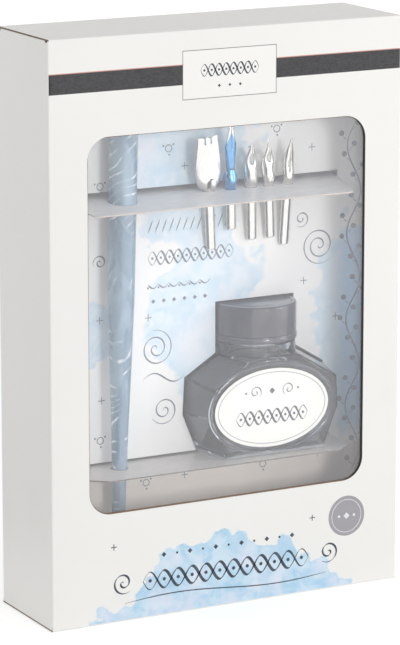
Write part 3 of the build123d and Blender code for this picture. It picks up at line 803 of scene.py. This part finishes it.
# each nib: body, place on the shelf, lean in degrees, sections (height, half width, curl), the
# opening behind its slit as (height, half width), and pressed marks as (across, height, reach
# across, reach up, depth)
rings = [(0, 1.1, 3.0, 0.16, 0.14), (0, 1.9, 3.0, 0.16, 0.10)]
nibs = {
    "nib_poster": dict(body="poster_nib", x=1.3, lean=6.7, sections=[
        (-21.4, 1.75, 0.87), (-19.0, *shank), (0.4, *shank), (0.9, 2.5, 1.5), (2.0, 3.8, 1.7),
        (3.8, 4.7, 1.6), (6.5, 5.0, 1.2), (10.0, 4.9, 0.8), (14.5, 4.4, 0.6), (19.6, 3.8, 0.45)],
        opening=None, marks=[(0.2, 4.4, 2.6, 2.4, -0.12)]),
    "nib_diamond": dict(body="diamond_nib", x=9.8, lean=5.3, sections=[
        (-14.8, 1.75, 0.87), (-12.8, *shank), (0.4, *shank), (1.5, 2.5, 2.3),
        (4.6, 2.6, 2.4), (6.4, 1.8, 1.5), (7.4, 1.75, 1.3), (9.0, 1.85, 1.2), (15.4, 2.25, 0.8),
        (19.0, 1.6, 0.4), (22.3, 0.8, 0.12), (22.7, 0.6, 0.1)],
        opening=[(15.4, 0.1), (15.2, 0.24), (15.0, 0.28), (14.8, 0.24), (14.65, 0.1)],
        marks=[(0, 3.2, 1.2, 1.4, -0.25), (0, 7.0, 3.0, 0.5, 0.3)]),
    "nib_round": dict(body="round_nib", x=17.8, lean=5.2, sections=[
        (-19.2, 1.75, 0.87), (-17.2, *shank), (0.4, *shank), (1.4, 2.5, 2.2), (3.0, 2.75, 2.6),
        (7.4, 2.75, 2.5), (10.0, 2.4, 1.6), (12.4, 1.6, 0.7), (14.6, 0.8, 0.3), (16.8, 0.3, 0.06)],
        opening=[(12.2, 0.1), (11.3, 0.34), (10.5, 0.78), (9.6, 1.05), (8.9, 1.1), (8.55, 0.9),
                 (8.45, 0.1)],
        marks=rings + [(0, 9.7, 1.5, 1.7, 0.55), (0, 5.4, 1.3, 1.9, -0.2)]),
    "nib_oval": dict(body="oval_nib", x=24.7, lean=6.2, sections=[
        (-19.1, 1.75, 0.87), (-17.1, *shank), (0.4, *shank), (1.3, 1.9, 1.6),
        (3.6, 2.45, 2.2), (6.8, 2.55, 2.3), (9.0, 2.4, 1.7), (11.6, 1.6, 0.8), (14.4, 0.8, 0.3),
        (17.0, 0.3, 0.06)],
        opening=[(12.6, 0.1), (11.5, 0.26), (10.8, 0.62), (10.0, 0.92), (9.4, 0.96), (9.05, 0.78),
                 (8.95, 0.1)],
        marks=rings[:1] + [(0, 10.1, 1.3, 1.7, 0.5), (0, 6.2, 1.2, 1.6, -0.15),
                           (-0.5, 2.7, 0.3, 0.3, 0.2), (0.5, 2.7, 0.3, 0.3, 0.2),
                           (0, 3.5, 0.3, 0.3, 0.2)]),
    "nib_slim": dict(body="slim_nib", x=32.0, lean=1.0, sections=[
        (-22.1, 1.75, 0.87), (-20.1, *shank), (0.4, *shank), (2.4, 2.1, 1.9),
        (8.0, 2.15, 1.9), (11.6, 1.6, 1.0), (14.2, 0.85, 0.35), (16.8, 0.3, 0.06)],
        opening=[(9.1, 0.1), (8.2, 0.42), (6.6, 0.58), (5.0, 0.42), (4.1, 0.1)],
        marks=rings[:1] + [(0, 6.4, 1.0, 3.0, 0.35)]),
}
tooth_gap, tooth_pitch, tooth_depth = 0.5, 2.3, 2.6
tongue_half, tongue_top = 1.1, 4.8       # the poster nib's strip that holds ink
tongue_aside = 0.7
tongue_sheet = 0.3
tongue_foot = 0.55                        # height at which it leaves the nib
arch = (0.25, 1.62, 1.5, 4.4)             # opening behind it: middle, half width, heights


def nib_place(name):
    nib = nibs[name]
    height = shelf_front_z + (nib_crown_y - shelf_front_y) * tan(radians(shelf_droop))
    turn = Matrix.Rotation(radians(nib_tilt), 4, "X") @ Matrix.Rotation(radians(-nib["lean"]), 4, "Y")
    return Matrix.Translation((nib["x"], nib_crown_y, height)) @ turn


def sheet_radius(sections, height):
    half, curl = glide(sections, height, 1), glide(sections, height, 2)
    return (half ** 2 + curl ** 2) / (2 * curl), half


def swell(height):
    """How far a nib's body stands forward of its shank."""
    ramp = min(max((height - 0.35) / 1.7, 0.0), 1.0)
    return belly * ramp ** 2 * (3 - 2 * ramp) * exp(-((height - belly_at) / belly_reach) ** 2)


def arched(middle, half, low, high, count=12):
    """A flat loop with a round top."""
    spring = high - half
    turns = [pi * i / count for i in range(count + 1)]
    top = [(middle + half * cos(turn), spring + half * sin(turn)) for turn in turns]
    return [(middle - half, low), (middle + half, low)] + top


def add_nib(name, material):
    nib = nibs[name]
    sections = nib["sections"]
    place = nib_place(name)
    foot, tip = sections[0][0], sections[-1][0]

    def side(height):
        radius, half = sheet_radius(sections, height)
        return radius * asin(half / radius)

    heights = [foot + (tip - foot) * i / 90 for i in range(91)]
    right = [(side(height), height) for height in heights]
    outline = right + [(-across, height) for across, height in reversed(right)]
    cuts = []
    if nib["opening"]:
        half_slit = slit / 2
        left = [(-half, height) for height, half in nib["opening"]]
        cuts.append([(-half_slit, tip + 1)] + left + [(-x, z) for x, z in reversed(left)]
                    + [(half_slit, tip + 1)])
    else:
        for middle in (-tooth_pitch / 2, tooth_pitch / 2):
            low = tip - tooth_depth
            turns = [pi * (1 + i / 8) for i in range(9)]
            half = tooth_gap / 2
            cuts.append([(middle - half, tip + 1)]
                        + [(middle + half * cos(t), low + half + half * sin(t)) for t in turns]
                        + [(middle + half, tip + 1)])
        cuts.append(arched(*arch))

    def bend(across, height, depth):
        radius, half = sheet_radius(sections, height)
        turn = across / radius
        forward = swell(height)
        for aside, level, wide, high, pressed in nib["marks"]:
            depth += pressed * exp(-((across - aside) / wide) ** 2 - ((height - level) / high) ** 2)
        inner = radius - depth
        return place @ Vector((inner * sin(turn), radius - inner * cos(turn) - forward, height))

    points, faces = bent_sheet(outline, cuts, mesh_step, nib_sheet, bend)
    piece = add_piece(name + "_pressed", points, faces, material, nib["body"], 75)
    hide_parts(name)


def add_tongue(material):
    place = nib_place("nib_poster")
    sections = nibs["nib_poster"]["sections"]

    def bend(across, height, depth):
        radius, half = sheet_radius(sections, height)
        seat = (across + tongue_aside) ** 2 / (2 * radius)
        lift = 0.62 * (1 - exp(-((height - tongue_foot) / 0.9) ** 2)) + 0.28
        crown = 0.35 * (across / tongue_half) ** 2
        back = seat * 0.5 + crown - lift + depth - swell(height)
        return place @ Vector((across + tongue_aside, back, height))

    outline = arched(0, tongue_half, tongue_foot, tongue_top)
    points, faces = bent_sheet(outline, [], mesh_step / 2, tongue_sheet, bend)
    piece = add_piece("nib_tongue", points, faces, material, "poster_nib", 75)
    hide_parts("nib_reservoir")


# ---- prints: generic pen practice, thin layers of ink on board and paper ----
ink_layer = 0.03
pen_angle = 40.0                          # degrees, the edge of a broad pen


def pen_stroke(path, thick, thin=0.16, taper=True):
    """Cross-sections of a stroke by a broad pen: it thickens with the direction it runs in."""
    count = len(path)
    sections = []
    for i, (x, z) in enumerate(path):
        ahead, behind = path[min(i + 1, count - 1)], path[max(i - 1, 0)]
        run = atan2(ahead[1] - behind[1], ahead[0] - behind[0])
        width = thin + (thick - thin) * abs(sin(run - radians(pen_angle)))
        if taper:
            width *= min(1.0, 0.25 + 5 * min(i, count - 1 - i) / count)
        aside = (-sin(run) * width / 2, cos(run) * width / 2)
        sections.append(((x + aside[0], z + aside[1]), (x - aside[0], z - aside[1])))
    return sections


def curve(function, count=48):
    return [function(i / (count - 1)) for i in range(count)]


def braid(x0, x1, z, high, pitch, thick):
    """Strokes of two crossing waves, with a dot in each eye between them."""
    turns = (x1 - x0) / pitch
    strokes = [pen_stroke(curve(lambda t: (x0 + (x1 - x0) * t, z + way * high / 2 * sin(2 * pi * turns * t)),
                                int(turns * 18)), thick, thick / 5) for way in (1, -1)]
    eyes = int(round(2 * turns))
    strokes += [blot(x0 + (i + 0.5) * pitch / 2, z, 0.1 * high) for i in range(eyes)]
    return strokes


def scallops(x0, x1, z, pitch, thick):
    """A row of hanging arcs with a dot below each joint."""
    strokes = []
    for i in range(int(round((x1 - x0) / pitch))):
        x = x0 + i * pitch
        strokes.append(pen_stroke(curve(lambda t: (x + pitch * t, z - 0.36 * pitch * sin(pi * t)), 14),
                                  thick, thick / 3))
        strokes.append(blot(x, z - 0.3 * pitch, 0.09 * pitch))
    return strokes


def spiral(x, z, radius, turns, start, way=1):
    return curve(lambda t: (x + radius * t ** 0.8 * cos(start + way * 2 * pi * turns * t),
                            z + radius * t ** 0.8 * sin(start + way * 2 * pi * turns * t)), 60)


def ring(x, z, radius):
    return curve(lambda t: (x + radius * cos(2 * pi * t), z + radius * sin(2 * pi * t)), 25)


def slants(x0, x1, z, high, pitch):
    """A row of slanted strokes."""
    count = int((x1 - x0) / pitch) + 1
    rows = []
    for i in range(count):
        x = x0 + i * pitch
        rows.append([(x, z - high / 2), (x + 0.13 * high, z - 0.17 * high),
                     (x + 0.27 * high, z + 0.17 * high), (x + 0.4 * high, z + high / 2)])
    return rows


def lozenge(x, z, radius):
    """Sections of a filled diamond."""
    return [((x, z), (x, z)), ((x + radius, z + radius), (x + radius, z - radius)),
            ((x + 2 * radius, z), (x + 2 * radius, z))]


def blot(x, z, radius, high=1.0):
    """Sections of a filled round dot."""
    turns = [pi * i / 10 for i in range(11)]
    return [((x - radius * cos(t), z + radius * high * sin(t)),
             (x - radius * cos(t), z - radius * high * sin(t))) for t in turns]


def plus(x, z, radius):
    return [[(x - radius, z), (x, z), (x + radius, z)], [(x, z - radius), (x, z), (x, z + radius)]]


def add_print(name, strokes, surface, material, body):
    """Joins strokes, each a list of (upper, lower) section ends, into one thin closed mesh."""
    points, faces = [], []
    for sections in strokes:
        first = len(points)
        for upper, lower in sections:
            for lift in (ink_layer, -ink_layer / 2):
                points += [surface(*upper, lift), surface(*lower, lift)]
        last = first + 4 * (len(sections) - 1)
        for at in range(first, last, 4):
            for a, b in ((0, 1), (1, 3), (3, 2), (2, 0)):
                faces.append((at + a, at + b, at + 4 + b, at + 4 + a))
        faces.append((first, first + 2, first + 3, first + 1))
        faces.append((last, last + 1, last + 3, last + 2))
    return add_piece(name, points, faces, material, body, 60)


def print_ink(name, colour, other):
    shade = Shade(name, specular_ior_level=0.35)
    shade.set("Base Color", shade.mix(shade.rise(shade.noise(2.4, 3.0), 0.35, 0.65), colour, other))
    shade.set("Roughness", shade.rise(shade.noise(0.6, 2.0), 0.3, 0.7, 0.4, 0.6))
    return shade.material


def on_front(x, z, lift):
    return (x, cad_low.y / MM - lift, z)


liner_low, liner_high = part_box("backdrop_liner")
liner_board = 0.45
bend_radius = 10.55                       # of the backdrop's printed face
bend_start = liner_high.x / MM - liner_board - bend_radius
bend_end = bend_start + bend_radius * pi / 2
backdrop_y = liner_high.y / MM - liner_board


def on_backdrop(across, z, lift):
    """A place on the printed face, measured along it from the middle and round its bends."""
    way = 1 if across >= 0 else -1
    reach = abs(across)
    if reach <= bend_start:
        return (across, backdrop_y - lift, z)
    turn = min((reach - bend_start) / bend_radius, pi / 2)
    x = bend_start + (bend_radius - lift) * sin(turn)
    y = backdrop_y - bend_radius + (bend_radius - lift) * cos(turn)
    return (way * x, y - max(reach - bend_end, 0), z)


label_low, label_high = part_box("bottle_label")


def on_label(x, z, lift):
    return (x, label_low.y / MM - lift, z)


def add_prints():
    dark = print_ink("front_ink", screen(58, 66, 76), screen(82, 90, 100))
    grey = print_ink("backdrop_ink", screen(104, 110, 122), screen(128, 134, 146))
    front = braid(-33, 31.5, 12.8, 6.2, 10.75, 1.05)
    front += [lozenge(x - 0.9, 21.4, 0.9) for x in range(-25, 26, 10)]
    front += [blot(x, 21.4, 0.42) for x in range(-20, 21, 10)]
    front += [pen_stroke(curve(lambda t: (-40 + 79 * t, 6.2 + 1.2 * sin(2 * pi * t)), 60), 0.5, 0.16)]
    for x, way in ((-40.5, 1), (39.5, -1)):
        front.append(pen_stroke(spiral(x, 13.5, 4.0, 1.6, pi / 2, way), 0.75))
    front += [pen_stroke(path, 0.3, 0.3, False) for x in (-44, 33) for path in plus(x, 26.5, 1.1)]
    middle = (label_panel[0] + label_panel[1]) / 2
    high = (label_panel[2] + label_panel[3]) / 2
    front += braid(middle - 11, middle + 11, high + 1.2, 4.0, 5.5, 0.6)
    front += [lozenge(middle + x - 0.55, high - 4.2, 0.55) for x in (-4, 0, 4)]
    add_print("front_print", front, on_front, dark, "carton")
    x, z, radius = disc
    white = print_ink("disc_ink", screen(238, 238, 238), screen(226, 226, 228))
    marks = [lozenge(x - 1.2, z, 1.2), pen_stroke(ring(x, z, radius - 1.3), 0.22, 0.22, False)]
    marks += [blot(x + way * 3.0, z, 0.5) for way in (-1, 1)]
    add_print("disc_print", marks, on_front, white, "carton")

    rows = [pen_stroke(path, 0.7) for path in slants(-20, 12, 130.5, 4.6, 2.7)]
    rows += braid(-20, 13, 119.5, 4.6, 6.6, 0.75)
    rows += scallops(-20, 4, 110.5, 4.0, 0.55)
    rows += [lozenge(x - 0.8, 104.5, 0.8) for x in range(-18, 4, 4)]
    rows += [pen_stroke(spiral(*values), 0.55, 0.2) for values in (
        (-17, 88, 6.5, 2.2, 0.5, 1), (-14, 66, 5.2, 1.8, 2.4, -1), (47, 118, 6.8, 2.3, 3.6, 1),
        (40, 128, 3.0, 1.5, 1.0, -1), (-38.3, 120, 2.6, 1.5, 0.4, 1))]
    rows.append(pen_stroke(curve(lambda t: (-22 + 16 * t, 77.5 + 1.8 * sin(2 * pi * t)), 40), 0.6))
    for x, z in ((-20, 99), (8, 137), (27, 128), (41, 106), (-38.5, 100), (-38, 72), (20, 155),
                 (44, 153), (-6, 150.5), (54, 92), (-6, 42), (47, 43)):
        rows += [pen_stroke(path, 0.28, 0.28, False) for path in plus(x, z, 1.3)]
    for x, z in ((-12, 157), (30, 160.5), (-38, 146), (50, 139), (-21, 41), (25, 42), (-38.5, 58)):
        rows.append(pen_stroke(ring(x, z, 1.2), 0.3, 0.3, False))
        rows += [blot(x + 2.2 * cos(turn), z + 2.2 * sin(turn), 0.34) for turn in (0.6, 2.7, 4.8)]
    stems = [(60.5, 36, 163, 2.4, 31)]
    for across, low, high, sway, pitch in stems:
        count = int((high - low) / 3.6)
        stem = curve(lambda t: (across + sway * sin(2 * pi * (high - low) * t / pitch),
                                low + (high - low) * t), count * 5)
        rows.append(pen_stroke(stem, 0.55, 0.4))
        for i in range(2, len(stem) - 2, 5):
            way = 1 if i % 2 else -1
            x, z = stem[i]
            rows.append(pen_stroke([(x, z), (x + way * 1.1, z + 0.7), (x + way * 2.0, z + 1.9)], 0.25, 0.2))
            rows.append(blot(x + way * 2.35, z + 2.6, 0.95))
    add_print("backdrop_print", rows, on_backdrop, grey, "carton")

    x = (label_low.x + label_high.x) / 2 / MM
    z = (label_low.z + label_high.z) / 2 / MM
    half, high = (label_high.x - label_low.x) / 2 / MM, (label_high.z - label_low.z) / 2 / MM
    rim = curve(lambda t: (x + (half - 1.3) * cos(2 * pi * t), z + (high - 1.3) * sin(2 * pi * t)), 90)
    marks = [pen_stroke(rim, 0.16, 0.16, False), lozenge(x - 1.1, z + 6.0, 1.1)]
    marks += braid(x - 14, x + 14, z - 3.0, 4.8, 7.0, 0.8)
    for way in (-1, 1):
        marks.append(pen_stroke(spiral(x + way * 6.5, z + 6.0, 2.4, 1.4, pi / 2, way), 0.4))
        marks.append(blot(x + way * 10.2, z + 6.0, 0.4))
    add_print("label_print", marks, on_label, dark, "carton")


# ---- the window's cut edge ----
window = (-53.0, 53.0, 38.2, 166.7)
window_radius = 8.0
# how far the strip of raw core stands into the opening: left, right, below, above; it is widest at the right,
# where it carries a painted shadow
edge_widths = (0.22, 0.62, 0.42, 0.2)


def rounded(left, right, low, high, radius, count=8):
    """A closed loop of points with round corners."""
    loop = []
    for corner, (x, z) in enumerate(((right - radius, high - radius), (left + radius, high - radius),
                                     (left + radius, low + radius), (right - radius, low + radius))):
        for i in range(count + 1):
            turn = pi / 2 * (corner + i / count)
            loop.append((x + radius * cos(turn), z + radius * sin(turn)))
    return loop


def add_window_edge():
    """The board's raw core, seen all round the opening where the die cut it. At the right it is painted near
    black: a painted shadow in the gap behind the board.
    """
    left, right, low, high = window
    outer = rounded(left, right, low, high, window_radius)
    aside_left, aside_right, below, above = edge_widths
    inner = rounded(left + aside_left, right - aside_right, low + below, high - above,
                    window_radius - max(edge_widths))
    front = cad_low.y / MM
    rows = [(outer, 0.02), (inner, 0.1), (inner, 0.44), (outer, 0.48)]
    points = [(x, front + depth, z) for loop, depth in rows for x, z in loop]
    count = len(outer)
    faces = []
    for row in range(4):
        for i in range(count):
            j = (i + 1) % count
            here, there = row * count, (row + 1) % 4 * count
            faces.append((here + i, here + j, there + j, there + i))
    shade = Shade("cut_edge", roughness=0.8)
    fibres = shade.noise(0.3, 4.0, 0.7)
    core = shade.mix(fibres, screen(112, 88, 70), screen(150, 126, 106))
    dark = shade.mix(fibres, screen(26, 22, 20), screen(48, 40, 36))
    # the right side is painted near black: a painted shadow in the gap between the board and the backdrop
    right_painted_shadow = shade.rise(shade.x, 40, 52)
    shade.set("Base Color", shade.mix(right_painted_shadow, core, dark))
    shade.bump(shade.noise(0.3, 3.0), 0.03)
    add_piece("window_edge", points, faces, shade.material, "carton")


# ---- oval rim moulded in the glass round the label ----
rim_gap, rim_width, rim_height = 1.0, 1.5, 0.55
rim_steps, rim_rows = 96, 8


def add_label_rim(material):
    half = (label_high.x - label_low.x) / 2 / MM + rim_gap
    high = (label_high.z - label_low.z) / 2 / MM + rim_gap
    x = (label_low.x + label_high.x) / 2 / MM
    z = (label_low.z + label_high.z) / 2 / MM
    face = label_high.y / MM
    section = [(rim_width * (1 - cos(2 * pi * i / rim_rows)) / 2, rim_height * sin(2 * pi * i / rim_rows))
               for i in range(rim_rows)]
    points = []
    for i in range(rim_steps):
        turn = 2 * pi * i / rim_steps
        points += [(x + (half + out) * cos(turn), face + 0.1 - max(rise, -0.2), z + (high + out) * sin(turn))
                   for out, rise in section]
    faces = []
    for i in range(rim_steps):
        here, there = i * rim_rows, (i + 1) % rim_steps * rim_rows
        for k in range(rim_rows):
            j = (k + 1) % rim_rows
            faces.append((here + k, there + k, there + j, here + j))
    add_piece("label_rim", points, faces, material, "carton", 60)


# ---- cap, turned ----
cap_steps = 128
# profile from the foot of the bore, outside and over the top, as (radius, height above the shelf)
cap_profile = [
    (12.4, 50.3), (12.4, 39.2), (12.6, 38.95), (14.75, 38.9), (14.95, 39.05), (15.0, 39.3),
    (15.0, 40.5), (14.9, 40.7), (14.45, 40.8), (14.4, 41.0), (14.6, 41.2), (14.78, 41.4),
    (14.82, 46.0), (14.82, 50.9), (14.72, 51.35), (14.45, 51.7), (14.05, 51.88), (13.5, 51.9),
    (13.2, 51.84), (12.95, 51.62), (12.6, 51.55), (6.0, 51.55)]


def add_cap(material):
    low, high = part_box("bottle_cap")
    x, y, shelf = (low.x + high.x) / 2 / MM, (low.y + high.y) / 2 / MM, high.z / MM - 51.9
    points, faces = [], []
    for i in range(cap_steps):
        turn = 2 * pi * i / cap_steps
        points += [(x + r * cos(turn), y + r * sin(turn), shelf + z) for r, z in cap_profile]
    count = len(cap_profile)
    for i in range(cap_steps):
        here, there = i * count, (i + 1) % cap_steps * count
        faces += [(here + k, there + k, there + k + 1, here + k + 1) for k in range(count - 1)]
    faces.append([i * count + count - 1 for i in range(cap_steps)])
    faces.append([i * count for i in reversed(range(cap_steps))])
    piece = add_piece("cap_turned", points, faces, material, "cap", 40)
    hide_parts("bottle_cap")


bpy.context.scene.view_settings.view_transform = "Standard"
add_camera()
add_light()
add_floor()
add_dark_card()
silver = steel("nib_steel", screen(228, 225, 219), screen(216, 214, 209), 0.14)
blued = blued_steel()
dress_nodes()
smooth_nodes()
for name in nibs:
    add_nib(name, blued if name == "nib_diamond" else silver)
add_tongue(silver)
add_cap(cap_plastic())
add_prints()
add_window_edge()
add_label_rim(nodes["bottle_glass"].data.materials[0])
